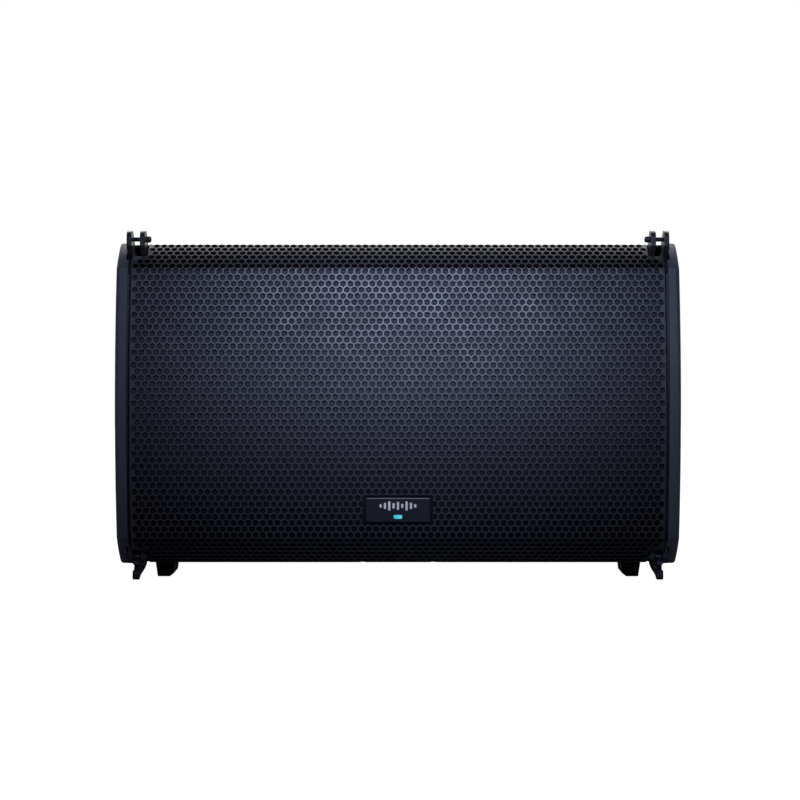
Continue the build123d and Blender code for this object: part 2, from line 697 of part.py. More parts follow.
# ---------------------------------------------------------------- rear link
CHEEK_T = 5.0
CHEEK_REAR_Y = 208.0
BRACKET_HALF_H = 15.0
BRACKET_HALF_W = 24.0
LINK_HOLE_R = 4.05
LINK_PIN_R = 4.0
LINK_HOLES = 6
LINK_FIRST_HOLE = 34.0
LINK_HOLE_PITCH = 13.0
LINK_LENGTH = 112.0
cheek_inner = LINK_HALF_T + CLEAR
cheek_outer = cheek_inner + CHEEK_T


def link_bracket(middle_z):
    """Channel screwed to the rear wall, open to the rear, with one cross hole."""
    z_range = (middle_z - BRACKET_HALF_H, middle_z + BRACKET_HALF_H)
    with BuildPart() as bracket:
        block((-BRACKET_HALF_W, BRACKET_HALF_W), (BOX_REAR, BOX_REAR + PANEL_T), z_range)
        for side in (-1, 1):
            xs = sorted((side * cheek_inner, side * cheek_outer))
            block(xs, (BOX_REAR + PANEL_T, CHEEK_REAR_Y), z_range)
        fillet(bracket.edges().filter_by(Axis.X).group_by(Axis.Y)[-1], 5)
        start = (-BRACKET_HALF_W, LINK_Y, middle_z)
        rod(start, (1, 0, 0), LINK_HOLE_R, 2 * BRACKET_HALF_W, mode=Mode.SUBTRACT)
        screw_holes(bracket_screw_places, REAR)
    return bracket.part


rear_bracket_upper = link_bracket(LINK_TOP_Z)
rear_bracket_upper.label = "rear_bracket_upper"
export_step(rear_bracket_upper, "parts/rear_bracket_upper.step")

rear_bracket_lower = link_bracket(LINK_LOW_Z)
rear_bracket_lower.label = "rear_bracket_lower"
export_step(rear_bracket_lower, "parts/rear_bracket_lower.step")

with BuildPart() as rear_link_arm:
    with BuildSketch(Plane.YZ.offset(-LINK_HALF_T)):
        with Locations((LINK_Y, LINK_TOP_Z - (LINK_LENGTH - LINK_HALF_W) / 2)):
            SlotCenterToCenter(LINK_LENGTH - LINK_HALF_W, 2 * LINK_HALF_W, rotation=90)
        with Locations((LINK_Y, LINK_TOP_Z)):
            Circle(LINK_HOLE_R, mode=Mode.SUBTRACT)
        for n in range(LINK_HOLES):
            hole_z = LINK_TOP_Z - LINK_FIRST_HOLE - n * LINK_HOLE_PITCH
            with Locations((LINK_Y, hole_z)):
                Circle(LINK_HOLE_R, mode=Mode.SUBTRACT)
    extrude(amount=2 * LINK_HALF_T)
rear_link_arm.part.label = "rear_link_arm"
export_step(rear_link_arm.part, "parts/rear_link_arm.step")

with BuildPart() as link_pivot_pin:
    rod((-cheek_outer - 3, LINK_Y, LINK_TOP_Z), (1, 0, 0), LINK_PIN_R, 2 * cheek_outer + 4.5)
    rod((cheek_outer, LINK_Y, LINK_TOP_Z), (1, 0, 0), 6.0, 2.5)
    rod((-cheek_outer - 2, LINK_Y, LINK_TOP_Z), (1, 0, 0), 5.6, 1.2)
link_pivot_pin.part.label = "link_pivot_pin"
export_step(link_pivot_pin.part, "parts/link_pivot_pin.step")

PIN_KNOB_R = 6.4
PIN_KNOB_END_X = 27.0
PIN_BUTTON_R = 3.0
PIN_BUTTON_DEPTH = 9.0
with BuildPart() as quick_release_pin:
    rod((-cheek_outer - 6, LINK_Y, LINK_LOW_Z), (1, 0, 0), LINK_PIN_R - 0.02, 2 * cheek_outer + 6.2)
    rod((cheek_outer + 0.2, LINK_Y, LINK_LOW_Z), (1, 0, 0), PIN_KNOB_R, PIN_KNOB_END_X - cheek_outer - 0.2)
    fillet(quick_release_pin.edges().filter_by(GeomType.CIRCLE).sort_by(Axis.X)[-1], 1)
    for groove_x in (15.0, 18.0, 21.0):
        with Locations(Plane(origin=(groove_x, LINK_Y, LINK_LOW_Z), z_dir=(1, 0, 0))):
            Torus(PIN_KNOB_R + 0.3, 0.8, mode=Mode.SUBTRACT)
    bore = (PIN_KNOB_END_X, LINK_Y, LINK_LOW_Z)
    rod(bore, (-1, 0, 0), PIN_BUTTON_R + 0.06, PIN_BUTTON_DEPTH + 3.2, mode=Mode.SUBTRACT)
quick_release_pin.part.label = "quick_release_pin"
export_step(quick_release_pin.part, "parts/quick_release_pin.step")

with BuildPart() as pin_button:
    start = (PIN_KNOB_END_X - PIN_BUTTON_DEPTH, LINK_Y, LINK_LOW_Z)
    rod(start, (1, 0, 0), PIN_BUTTON_R, PIN_BUTTON_DEPTH + 3.5)
    fillet(pin_button.edges().filter_by(GeomType.CIRCLE).sort_by(Axis.X)[-1], 1)
pin_button.part.label = "pin_button"
export_step(pin_button.part, "parts/pin_button.step")

# ---------------------------------------------------------------- rear panel and electronics
PANEL_FACE = BOX_REAR + PANEL_T
SOCKET_R = 11.0
SOCKET_BORE_R = 8.5
SOCKET_DEPTH = 24.0
SOCKET_FLANGE = (26.0, 31.0)
SOCKET_FLANGE_T = 1.8
INPUT_XZ = (120.0, 205.0)
THRU_XZ = (84.0, 205.0)
MAINS_IN_XZ = (120.0, 122.0)
MAINS_OUT_XZ = (84.0, 122.0)
KNOB_XZ = (38.0, 205.0)
BUTTON_XZ = (38.0, 166.0)
ROCKER_XZ = (38.0, 122.0)
WINDOW_XZ = (100.0, 164.0)
WINDOW_SIZE = (72.0, 24.0)
ROCKER_SIZE = (12.8, 17.2)
TAB_W = 8.0
TAB_Z = (11.5, 14.5)
SHAFT_R = 3.0
BUTTON_R = 4.0
POST_R = 4.0
BOARD_Y = 140.0
BOARD_T = 2.0
BOARD_POSTS = [(x, z) for x in (13.0, 139.0) for z in (106.0, 222.0)]


def tab_slot(place, mode):
    """The slot above a signal socket where its latch tab slides."""
    x, z = place
    xs = (x - TAB_W / 2 - 0.2, x + TAB_W / 2 + 0.2)
    zs = (z + TAB_Z[0] - 0.2, z + TAB_Z[1] + 0.2)
    block(xs, (BOX_REAR - 5, BOX_REAR + 8), zs, mode=mode)


with BuildPart() as amp_panel:
    zs = (PANEL_Z - PANEL_H / 2, PANEL_Z + PANEL_H / 2)
    block((-PANEL_W / 2, PANEL_W / 2), (BOX_REAR, PANEL_FACE), zs)
    fillet(amp_panel.edges().filter_by(Axis.Y), 4)
    x, z = ROCKER_XZ
    block((x - 9, x + 9), (PANEL_FACE, PANEL_FACE + 1), (z - 13, z + 13))
    block((x - 6.7, x + 6.7), (BOX_REAR - 1, BOX_REAR + 8), (z - 10.2, z + 10.2), mode=Mode.SUBTRACT)
    for x, z in (INPUT_XZ, THRU_XZ, MAINS_IN_XZ, MAINS_OUT_XZ):
        rod((x, BOX_REAR - 1, z), REAR, SOCKET_R + 0.2, PANEL_T + 2, mode=Mode.SUBTRACT)
    for place in (INPUT_XZ, THRU_XZ):
        tab_slot(place, Mode.SUBTRACT)
    x, z = KNOB_XZ
    rod((x, BOX_REAR - 1, z), REAR, SHAFT_R + 0.06, PANEL_T + 2, mode=Mode.SUBTRACT)
    x, z = BUTTON_XZ
    rod((x, BOX_REAR - 1, z), REAR, BUTTON_R + 0.08, PANEL_T + 2, mode=Mode.SUBTRACT)
    x, z = WINDOW_XZ
    block(
        (x - WINDOW_SIZE[0] / 2, x + WINDOW_SIZE[0] / 2),
        (BOX_REAR - 1, PANEL_FACE + 1),
        (z - WINDOW_SIZE[1] / 2, z + WINDOW_SIZE[1] / 2),
        mode=Mode.SUBTRACT,
    )
    for x, z in BOARD_POSTS:
        rod((x, BOARD_Y + BOARD_T, z), REAR, POST_R, BOX_REAR - BOARD_Y - BOARD_T)
    screw_holes(panel_screw_places, REAR)
amp_panel.part.label = "amp_panel"
export_step(amp_panel.part, "parts/amp_panel.step")

SINK_X = (-144.0, -8.0)
SINK_Z = (101.0, 227.0)
SINK_BASE_T = 3.0
FIN_T = 2.4
FINS = 14
with BuildPart() as heat_sink:
    block(SINK_X, (PANEL_FACE, PANEL_FACE + SINK_BASE_T), SINK_Z)
    for n in range(FINS):
        low_x = SINK_X[0] + n * (SINK_X[1] - SINK_X[0] - FIN_T) / (FINS - 1)
        block((low_x, low_x + FIN_T), (PANEL_FACE + SINK_BASE_T, REAR_Y - 3), SINK_Z)
heat_sink.part.label = "heat_sink"
export_step(heat_sink.part, "parts/heat_sink.step")

with BuildPart() as amp_board:
    block((7, 145), (BOARD_Y, BOARD_Y + BOARD_T), (101, 227))
    for x, z in ((60, 190), (82, 190), (104, 190), (126, 190)):
        rod((x, BOARD_Y, z), FRONT, 8, 26)
    block((70, 130), (BOARD_Y - 12, BOARD_Y), (112, 128))
    block((24, 50), (BOARD_Y - 18, BOARD_Y), (150, 210))
    x, z = KNOB_XZ
    block((x - 6, x + 6), (BOARD_Y + BOARD_T, BOARD_Y + 28), (z - 6, z + 6))
amp_board.part.label = "amp_board"
export_step(amp_board.part, "parts/amp_board.step")

SUPPLY_X = (-138.0, -8.0)
SUPPLY_Y = (118.0, BOX_REAR)
SUPPLY_Z = (106.0, 222.0)
with BuildPart() as power_supply:
    block(SUPPLY_X, SUPPLY_Y, SUPPLY_Z)
    fillet(power_supply.edges().filter_by(Axis.Y), 4)
    for n in range(9):
        low_z = SUPPLY_Z[0] + 14 + n * 10
        block((SUPPLY_X[1] - 4, SUPPLY_X[1] + 1), (130, 175), (low_z, low_z + 4), mode=Mode.SUBTRACT)
power_supply.part.label = "power_supply"
export_step(power_supply.part, "parts/power_supply.step")


def socket(place, pin_places, pin_r, with_tab_slot):
    """Round chassis socket, open to the rear, with its contacts inside."""
    x, z = place
    floor_y = PANEL_FACE - SOCKET_DEPTH
    with BuildPart() as body:
        half_w, half_h = SOCKET_FLANGE[0] / 2, SOCKET_FLANGE[1] / 2
        block((x - half_w, x + half_w), (PANEL_FACE, PANEL_FACE + SOCKET_FLANGE_T), (z - half_h, z + half_h))
        fillet(body.edges().filter_by(Axis.Y), 3)
        rod((x, floor_y, z), REAR, SOCKET_R, SOCKET_DEPTH)
        rod((x, PANEL_FACE, z), REAR, SOCKET_R + 0.8, SOCKET_FLANGE_T + 1)
        bore_length = SOCKET_DEPTH + SOCKET_FLANGE_T
        rod((x, floor_y + 3, z), REAR, SOCKET_BORE_R, bore_length, mode=Mode.SUBTRACT)
        if with_tab_slot:
            tab_slot(place, Mode.SUBTRACT)
        for pin_x, pin_z in pin_places:
            rod((x + pin_x, floor_y + 2, z + pin_z), REAR, pin_r, 9)
    return body.part


signal_pins = [(-4.4, 0), (4.4, 0), (0, -4.4)]
mains_blades = [(-4, 2.5), (4, 2.5), (0, -4.5)]
for name, place, pins, pin_r, has_tab in (
    ("signal_input_socket", INPUT_XZ, signal_pins, 1.2, True),
    ("signal_thru_socket", THRU_XZ, signal_pins, 1.2, True),
    ("mains_inlet", MAINS_IN_XZ, mains_blades, 1.6, False),
    ("mains_outlet", MAINS_OUT_XZ, mains_blades, 1.6, False),
):
    chassis_socket = socket(place, pins, pin_r, has_tab)
    chassis_socket.label = name
    export_step(chassis_socket, f"parts/{name}.step")

for name, (x, z) in (("input_latch_tab", INPUT_XZ), ("thru_latch_tab", THRU_XZ)):
    with BuildPart() as latch_tab:
        zs = (z + TAB_Z[0], z + TAB_Z[1])
        block((x - TAB_W / 2, x + TAB_W / 2), (BOX_REAR - 3, PANEL_FACE + 4.5), zs)
        fillet(latch_tab.edges().filter_by(Axis.X).group_by(Axis.Y)[-1], 1)
    latch_tab.part.label = name
    export_step(latch_tab.part, f"parts/{name}.step")

with BuildPart() as encoder_shaft:
    x, z = KNOB_XZ
    rod((x, BOARD_Y + 29.5, z), REAR, SHAFT_R, 202 - BOARD_Y - 29.5)
encoder_shaft.part.label = "encoder_shaft"
export_step(encoder_shaft.part, "parts/encoder_shaft.step")

KNOB_R = 9.5
KNOB_Y = (PANEL_FACE + 2.0, PANEL_FACE + 14.0)
KNOB_RIBS = 24
with BuildPart() as encoder_knob:
    rod((x, KNOB_Y[0], z), REAR, KNOB_R, KNOB_Y[1] - KNOB_Y[0])
    fillet(encoder_knob.edges().filter_by(GeomType.CIRCLE).sort_by(Axis.Y)[-1], 1.2)
    with Locations(Plane(origin=(x, KNOB_Y[0], z), z_dir=REAR)):
        with PolarLocations(KNOB_R + 0.35, KNOB_RIBS):
            Cylinder(0.8, 18, mode=Mode.SUBTRACT)
    rod((x, KNOB_Y[0] - 1, z), REAR, SHAFT_R + 0.03, 202.2 - KNOB_Y[0] + 1, mode=Mode.SUBTRACT)
encoder_knob.part.label = "encoder_knob"
export_step(encoder_knob.part, "parts/encoder_knob.step")

with BuildPart() as menu_button:
    x, z = BUTTON_XZ
    rod((x, BOX_REAR - 3, z), REAR, BUTTON_R, PANEL_T + 6)
    fillet(menu_button.edges().filter_by(GeomType.CIRCLE).sort_by(Axis.Y)[-1], 0.8)
menu_button.part.label = "menu_button"
export_step(menu_button.part, "parts/menu_button.step")

with BuildPart() as power_rocker:
    x, z = ROCKER_XZ
    half_h = ROCKER_SIZE[1] / 2
    with BuildSketch(Plane.YZ.offset(x - ROCKER_SIZE[0] / 2)):
        with BuildLine():
            Polyline(
                (BOX_REAR - 2.5, z - half_h + 0.6),
                (PANEL_FACE + 0.2, z - half_h),
                (PANEL_FACE + 0.6, z),
                (PANEL_FACE + 3.8, z + half_h - 0.2),
                (BOX_REAR - 2.5, z + half_h - 0.6),
                close=True,
            )
        make_face()
    extrude(amount=ROCKER_SIZE[0])
power_rocker.part.label = "power_rocker"
export_step(power_rocker.part, "parts/power_rocker.step")

with BuildPart() as display_window:
    x, z = WINDOW_XZ
    half_w, half_h = WINDOW_SIZE[0] / 2 - 0.1, WINDOW_SIZE[1] / 2 - 0.1
    block((x - half_w, x + half_w), (PANEL_FACE - 2, PANEL_FACE - 0.3), (z - half_h, z + half_h))
display_window.part.label = "display_window"
export_step(display_window.part, "parts/display_window.step")

# ---------------------------------------------------------------- low-frequency driver


def turned(axis_x, points):
    """A ring turned about a front-to-back axis, from radius and Y points."""
    with BuildPart() as ring:
        with BuildSketch(Plane.XY.offset(MID_Z)):
            with BuildLine():
                Polyline(*[(axis_x + r, y) for r, y in points], close=True)
            make_face()
        revolve(axis=Axis((axis_x, 0, MID_Z), (0, 1, 0)))
    return ring.part


FRAME_FRONT = BAFFLE_FRONT - FRAME_T
with BuildPart() as woofer_frame:
    add(
        turned(
            WOOFER_X,
            [
                (WOOFER_R, FRAME_FRONT),
                (WOOFER_R, BAFFLE_FRONT),
                (WOOFER_HOLE_R - 0.5, BAFFLE_FRONT),
                (139, -150),
                (76, -70),
                (50, -70),
                (50, -73),
                (73, -73),
                (135, -152),
                (135, FRAME_FRONT),
            ],
        )
    )
    for n in range(6):
        angle = 2 * pi * n / 6
        outwards = (cos(angle), 0, sin(angle))
        rod((WOOFER_X, -108, MID_Z), outwards, 21, WOOFER_R, mode=Mode.SUBTRACT)
    screw_holes(woofer_screw_places, FRONT)
woofer_frame.part.label = "woofer_frame"
export_step(woofer_frame.part, "parts/woofer_frame.step")

with BuildPart() as woofer_magnet:
    add(turned(WOOFER_X, [(35, -70), (70, -70), (70, -62), (35, -62)]))
    add(turned(WOOFER_X, [(42, -61.9), (78, -61.9), (78, -42.1), (42, -42.1)]))
    add(turned(WOOFER_X, [(10, -72), (31.5, -72), (31.5, -42), (70, -42), (70, -34), (10, -34)]))
woofer_magnet.part.label = "woofer_magnet"
export_step(woofer_magnet.part, "parts/woofer_magnet.step")

woofer_voice_coil = turned(WOOFER_X, [(32.5, -97), (34, -97), (34, -52), (32.5, -52)])
woofer_voice_coil.label = "woofer_voice_coil"
export_step(woofer_voice_coil, "parts/woofer_voice_coil.step")

DUST_CAP_R = 46.0
DUST_CAP_RISE = 13.5
DUST_CAP_T = 1.0
DUST_CAP_STEPS = 6
cap_front = []
cap_back = []
for n in range(DUST_CAP_STEPS + 1):
    cap_r = DUST_CAP_R * n / DUST_CAP_STEPS
    cap_y = -103.0 - DUST_CAP_RISE * (1 - (n / DUST_CAP_STEPS) ** 2)
    cap_front.append((cap_r, cap_y - DUST_CAP_T))
    cap_back.append((cap_r, cap_y))
with BuildPart() as woofer_cone:
    add(turned(WOOFER_X, [(34.05, -94), (117, -152), (117, -153.6), (34.05, -96)]))
    add(turned(WOOFER_X, cap_front + cap_back[::-1]))
woofer_cone.part.label = "woofer_cone"
export_step(woofer_cone.part, "parts/woofer_cone.step")

with BuildPart() as woofer_surround:
    with BuildSketch(Plane.XY.offset(MID_Z)):
        with BuildLine():
            ThreePointArc((WOOFER_X + 117.2, -154.8), (WOOFER_X + 125, -168), (WOOFER_X + 134.5, -165.4))
            Line((WOOFER_X + 134.5, -165.4), (WOOFER_X + 140, -165.4))
            Line((WOOFER_X + 140, -165.4), (WOOFER_X + 140, FRAME_FRONT - 0.1))
            Line((WOOFER_X + 140, FRAME_FRONT - 0.1), (WOOFER_X + 133.6, FRAME_FRONT - 0.1))
            ThreePointArc(
                (WOOFER_X + 133.6, FRAME_FRONT - 0.1), (WOOFER_X + 125.4, -166.6), (WOOFER_X + 118.6, -154.8)
            )
            Line((WOOFER_X + 118.6, -154.8), (WOOFER_X + 117.2, -154.8))
        make_face()
    revolve(axis=WOOFER_AXIS)
woofer_surround.part.label = "woofer_surround"
export_step(woofer_surround.part, "parts/woofer_surround.step")

SPIDER_RIPPLES = 10
SPIDER_R = (34.1, 66.0)
ripple_front = []
ripple_back = []
for n in range(2 * SPIDER_RIPPLES + 1):
    ripple_r = SPIDER_R[0] + n * (SPIDER_R[1] - SPIDER_R[0]) / (2 * SPIDER_RIPPLES)
    ripple_y = -78.0 + 1.4 * (n % 2)
    ripple_front.append((ripple_r, ripple_y - 0.6))
    ripple_back.append((ripple_r, ripple_y))
woofer_spider = turned(WOOFER_X, ripple_front + ripple_back[::-1])
woofer_spider.label = "woofer_spider"
export_step(woofer_spider, "parts/woofer_spider.step")

# ---------------------------------------------------------------- high-frequency horn
THROAT_Y = -60.0
HORN_WALL = 4.0
THROAT_SIDE = 52.0
with BuildPart() as horn_waveguide:
    with BuildSketch(Plane.XZ.offset(-FRAME_FRONT)):
        with Locations((HORN_X, MID_Z)):
            RectangleRounded(HORN_W, HORN_H, 6)
    extrude(amount=-FRAME_T)
    for size_cut, shape_mode in ((0.0, Mode.ADD), (2 * HORN_WALL, Mode.SUBTRACT)):
        near_y = BAFFLE_FRONT if shape_mode is Mode.ADD else FRAME_FRONT - 0.5
        far_y = THROAT_Y if shape_mode is Mode.ADD else THROAT_Y + 0.5
        with BuildSketch(Plane.XZ.offset(-near_y)):
            with Locations((HORN_X, MID_Z)):
                RectangleRounded(146 - size_cut, 296 - size_cut, 12)
        with BuildSketch(Plane.XZ.offset(-far_y)):
            with Locations((HORN_X, MID_Z)):
                RectangleRounded(THROAT_SIDE - size_cut, THROAT_SIDE - size_cut, 12)
        loft(mode=shape_mode)
    block(
        (HORN_X - 38, HORN_X + 38), (THROAT_Y, THROAT_Y + FRAME_T), (MID_Z - 38, MID_Z + 38)
    )
    rod((HORN_X, THROAT_Y - 1, MID_Z), REAR, 18, FRAME_T + 2, mode=Mode.SUBTRACT)
    screw_holes(horn_screw_places, FRONT)
horn_waveguide.part.label = "horn_waveguide"
export_step(horn_waveguide.part, "parts/horn_waveguide.step")

compression_driver = turned(
    HORN_X,
    [
        (18, -54), (36, -54), (36, -48), (46, -48), (46, -26), (40, -26),
        (40, -8), (0, -8), (0, -12), (30, -12), (30, -24), (18, -24),
    ],
)
compression_driver.label = "compression_driver"
export_step(compression_driver, "parts/compression_driver.step")

DOME_R = 22.0
DOME_STEPS = 5
dome_front = []
dome_back = []
for n in range(DOME_STEPS + 1):
    dome_r = DOME_R * n / DOME_STEPS
    dome_y = -16.5 - 5.0 * (n / DOME_STEPS) ** 2
    dome_front.append((dome_r, dome_y - 0.6))
    dome_back.append((dome_r, dome_y))
dome_rim = [(28, -22.1), (28, -21.5)]
hf_diaphragm = turned(HORN_X, dome_front + dome_rim + dome_back[::-1])
hf_diaphragm.label = "hf_diaphragm"
export_step(hf_diaphragm, "parts/hf_diaphragm.step")

# ---------------------------------------------------------------- internal leads
LEAD_R = 2.5
WOOFER_LEAD = [
    (16, 139.8, 120), (16, 106, 118), (-12, 62, 105), (-50, 4, 100), (-60, -56, 108), (-62, -94, 126),
]
HORN_LEAD = [(110, 139.8, 150), (110, 112, 152), (124, 70, 172), (143, 30, 196), (150, -6, 216)]


def lead_radii(points):
    """Largest bend radius that each corner of a route has room for."""
    radii = []
    for before, corner, after in zip(points, points[1:], points[2:]):
        arriving = Vector(*corner) - Vector(*before)
        leaving = Vector(*after) - Vector(*corner)
        half_turn = radians(arriving.get_angle(leaving)) / 2
        radii.append(0.45 * min(arriving.length, leaving.length) / tan(half_turn))
    return radii


with BuildPart() as speaker_leads:
    for route in (WOOFER_LEAD, HORN_LEAD):
        radii = lead_radii(route)
        print("lead bend radii", [round(radius) for radius in radii])
        with BuildLine() as run:
            FilletPolyline(*route, radius=radii)
        with BuildSketch(Plane(origin=run.line @ 0, z_dir=run.line % 0)):
            Circle(LEAD_R)
        sweep(path=run.line)
speaker_leads.part.label = "speaker_leads"
export_step(speaker_leads.part, "parts/speaker_leads.step")

# ---------------------------------------------------------------- screws
with BuildPart() as case_screws:
    for places, facing in (
        (woofer_screw_places, FRONT),
        (horn_screw_places, FRONT),
        (panel_screw_places, REAR),
        (bracket_screw_places, REAR),
        (grille_top_places, UP),
        (grille_low_places, DOWN),
        (foot_screw_places, (0, 0, -1)),
        ([place for place in cap_screw_places if place[0] > 0], (1, 0, 0)),
        ([place for place in cap_screw_places if place[0] < 0], (-1, 0, 0)),
    ):
        inwards = tuple(-part for part in facing)
        for place in places:
            rod(place, facing, SCREW_HEAD_R, SCREW_HEAD_H)
            rod(place, inwards, SCREW_R, SCREW_LENGTH)
case_screws.part.label = "case_screws"
export_step(case_screws.part, "parts/case_screws.step")
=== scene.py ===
"""Visual model of the line array speaker: materials, grille, badge, hook springs and studio."""

import json
from math import acos, atan2, cos, hypot, pi, radians, sin, sqrt, tan

import bmesh
import bpy
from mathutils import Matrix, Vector


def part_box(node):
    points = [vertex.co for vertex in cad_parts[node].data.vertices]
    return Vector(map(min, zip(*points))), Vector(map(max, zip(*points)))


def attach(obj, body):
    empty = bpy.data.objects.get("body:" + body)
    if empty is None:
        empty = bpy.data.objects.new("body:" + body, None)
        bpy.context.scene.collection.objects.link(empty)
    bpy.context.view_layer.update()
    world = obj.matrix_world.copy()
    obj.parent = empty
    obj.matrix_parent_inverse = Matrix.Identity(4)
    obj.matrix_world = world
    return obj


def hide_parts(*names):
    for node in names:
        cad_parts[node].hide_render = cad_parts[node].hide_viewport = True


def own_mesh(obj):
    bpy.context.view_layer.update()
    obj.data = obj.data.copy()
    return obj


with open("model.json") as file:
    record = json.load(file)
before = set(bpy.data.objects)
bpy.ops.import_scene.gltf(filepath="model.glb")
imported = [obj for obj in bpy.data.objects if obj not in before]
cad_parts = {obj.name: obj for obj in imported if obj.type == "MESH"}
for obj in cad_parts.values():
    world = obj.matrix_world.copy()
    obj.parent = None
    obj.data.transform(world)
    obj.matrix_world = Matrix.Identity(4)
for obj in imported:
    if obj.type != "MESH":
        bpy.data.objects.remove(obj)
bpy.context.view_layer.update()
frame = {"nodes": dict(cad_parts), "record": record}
nodes = frame["nodes"]
slots = {entry["node"]: entry["material_slot"] for entry in frame["record"]["subparts"]}

# ------------------------------------------------------------------ sizes, in metres
MM = 0.001

# Side view of the box, shared with the CAD source
MID_Z = 216 * MM
HALF_H = 195.7 * MM
FRONT_Y = -210 * MM
BOW_RADIUS = 920 * MM
CREASE_HALF = 163.5 * MM
SHOULDER_Y = FRONT_Y + 49 * MM
SHOULDER_BULGE = 2.3 * MM
TAPER = radians(4.5)

# ------------------------------------------------------------------ node wiring


class Wires:
    """A short way to wire the shader nodes of a material or a world."""

    def __init__(self, owner):
        owner.use_nodes = True
        self.tree = owner.node_tree

    def add(self, kind, **inputs):
        node = self.tree.nodes.new(kind)
        for name, value in inputs.items():
            node.inputs[name].default_value = value
        return node

    def link(self, out, into):
        self.tree.links.new(out, into)

    def ramp(self, value, span, result, smooth=False):
        """A value's span mapped to another one, and held at both ends."""
        node = self.add("ShaderNodeMapRange")
        if smooth:
            node.interpolation_type = "SMOOTHSTEP"
        node.inputs["From Min"].default_value, node.inputs["From Max"].default_value = span
        node.inputs["To Min"].default_value, node.inputs["To Max"].default_value = result
        self.link(value, node.inputs["Value"])
        return node.outputs["Result"]

    def mix(self, value, colour_a, colour_b):
        """Two colours, plain or from other nodes, mixed by a value from 0 to 1."""
        node = self.add("ShaderNodeMix")
        node.data_type = "RGBA"
        self.link(value, node.inputs["Factor"])
        for socket, colour in ((node.inputs["A"], colour_a), (node.inputs["B"], colour_b)):
            if isinstance(colour, tuple):
                socket.default_value = (*colour, 1.0)
            else:
                self.link(colour, socket)
        return node.outputs["Result"]


class Surface(Wires):
    """One material's nodes; its textures lie in the object's own coordinates, in metres."""

    def __init__(self, name):
        self.material = bpy.data.materials.new(name)
        super().__init__(self.material)
        self.shader = self.tree.nodes["Principled BSDF"]
        self.place = self.add("ShaderNodeTexCoord").outputs["Object"]

    def noise(self, scale, detail=4.0, roughness=0.6, stretch=None):
        place = self.place
        if stretch:
            mapping = self.add("ShaderNodeMapping", Scale=stretch)
            self.link(place, mapping.inputs["Vector"])
            place = mapping.outputs["Vector"]
        node = self.add("ShaderNodeTexNoise", Scale=scale, Detail=detail, Roughness=roughness)
        self.link(place, node.inputs["Vector"])
        return node.outputs["Fac"]

    def bump(self, height, distance):
        node = self.add("ShaderNodeBump", Strength=1.0, Distance=distance)
        self.link(height, node.inputs["Height"])
        return node.outputs["Normal"]

    def shade(self, **looks):
        """Links another node to each named socket of the shader, or sets its value there."""
        for name, look in looks.items():
            socket = self.shader.inputs[name.replace("_", " ")]
            if isinstance(look, bpy.types.NodeSocket):
                self.link(look, socket)
            else:
                socket.default_value = look


# ------------------------------------------------------------------ materials
FULL = (0.0, 1.0)
MID_NOISE = (0.3, 0.7)
WIDE_NOISE = (0.2, 0.8)

# Variation that every coated, moulded or plated surface has
BLOTCH_SCALE = 9.0
SCUFF_SCALE = 60.0
SCUFF_NOISE = (0.66, 0.78)
SCUFF_TINT = 2.6
SMUDGE_SCALE = 35.0
SMUDGE_ROUGH = (0.88, 1.14)

# Foam: its skin, and the heights over which painted shade turns it black above the crease and
# fades it to black towards the bottom
FOAM_PORE_SCALE = 900.0
FOAM_PORE = (0.024, 0.026, 0.034)
FOAM_SKIN = (0.06, 0.065, 0.085)
FOAM_SHADE_BLACK = (0.003, 0.003, 0.004)
FOAM_TOP_SHADE_SPAN = (MID_Z + CREASE_HALF - 3 * MM, MID_Z + CREASE_HALF)
FOAM_BOTTOM_SHADE_SPAN = (MID_Z - CREASE_HALF, MID_Z + 20 * MM)

LED_DIM = (0.02, 0.46, 0.52)
LED_BRIGHT = (0.16, 0.85, 0.86)
LED_GLOW = 0.55

PLY_DARK = (0.42, 0.27, 0.14)
PLY_PALE = (0.66, 0.5, 0.32)

# Threads in a metre of a wave texture whose scale is 1
WAVE_THREADS = 6.3


def tinted(colour, factor):
    """A colour made lighter or darker."""
    return tuple(min(1.0, part * factor) for part in colour)


def finish_of(name, colour, rough, metallic=0.0, grain=900.0, depth=0.04, spread=0.18, wear=0.0,
              specular=0.5, brushed=None):
    """A coated, moulded or plated surface: fine grain, blotchy tone, uneven gloss, rubbed spots.

    grain is a noise scale and depth the bump's height in millimetres. spread is how far the tone
    strays from colour, wear how strongly rubbed spots show, and brushed stretches the grain.
    """
    surface = Surface(name)
    blotches = surface.noise(BLOTCH_SCALE, detail=5.0)
    tone = surface.mix(
        surface.ramp(blotches, MID_NOISE, FULL),
        tinted(colour, 1 - spread),
        tinted(colour, 1 + spread),
    )
    if wear:
        scuffs = surface.noise(SCUFF_SCALE, detail=6.0, roughness=0.75)
        rubbed = surface.ramp(scuffs, SCUFF_NOISE, (0.0, wear))
        tone = surface.mix(rubbed, tone, tinted(colour, SCUFF_TINT))
    smudges = surface.noise(SMUDGE_SCALE, stretch=brushed)
    gloss = tuple(rough * share for share in SMUDGE_ROUGH)
    fine = surface.noise(grain, detail=2.0, roughness=0.5, stretch=brushed)
    surface.shade(
        Base_Color=tone,
        Roughness=surface.ramp(smudges, MID_NOISE, gloss),
        Normal=surface.bump(fine, depth * MM),
        Metallic=metallic,
        Specular_IOR_Level=specular,
    )
    return surface.material


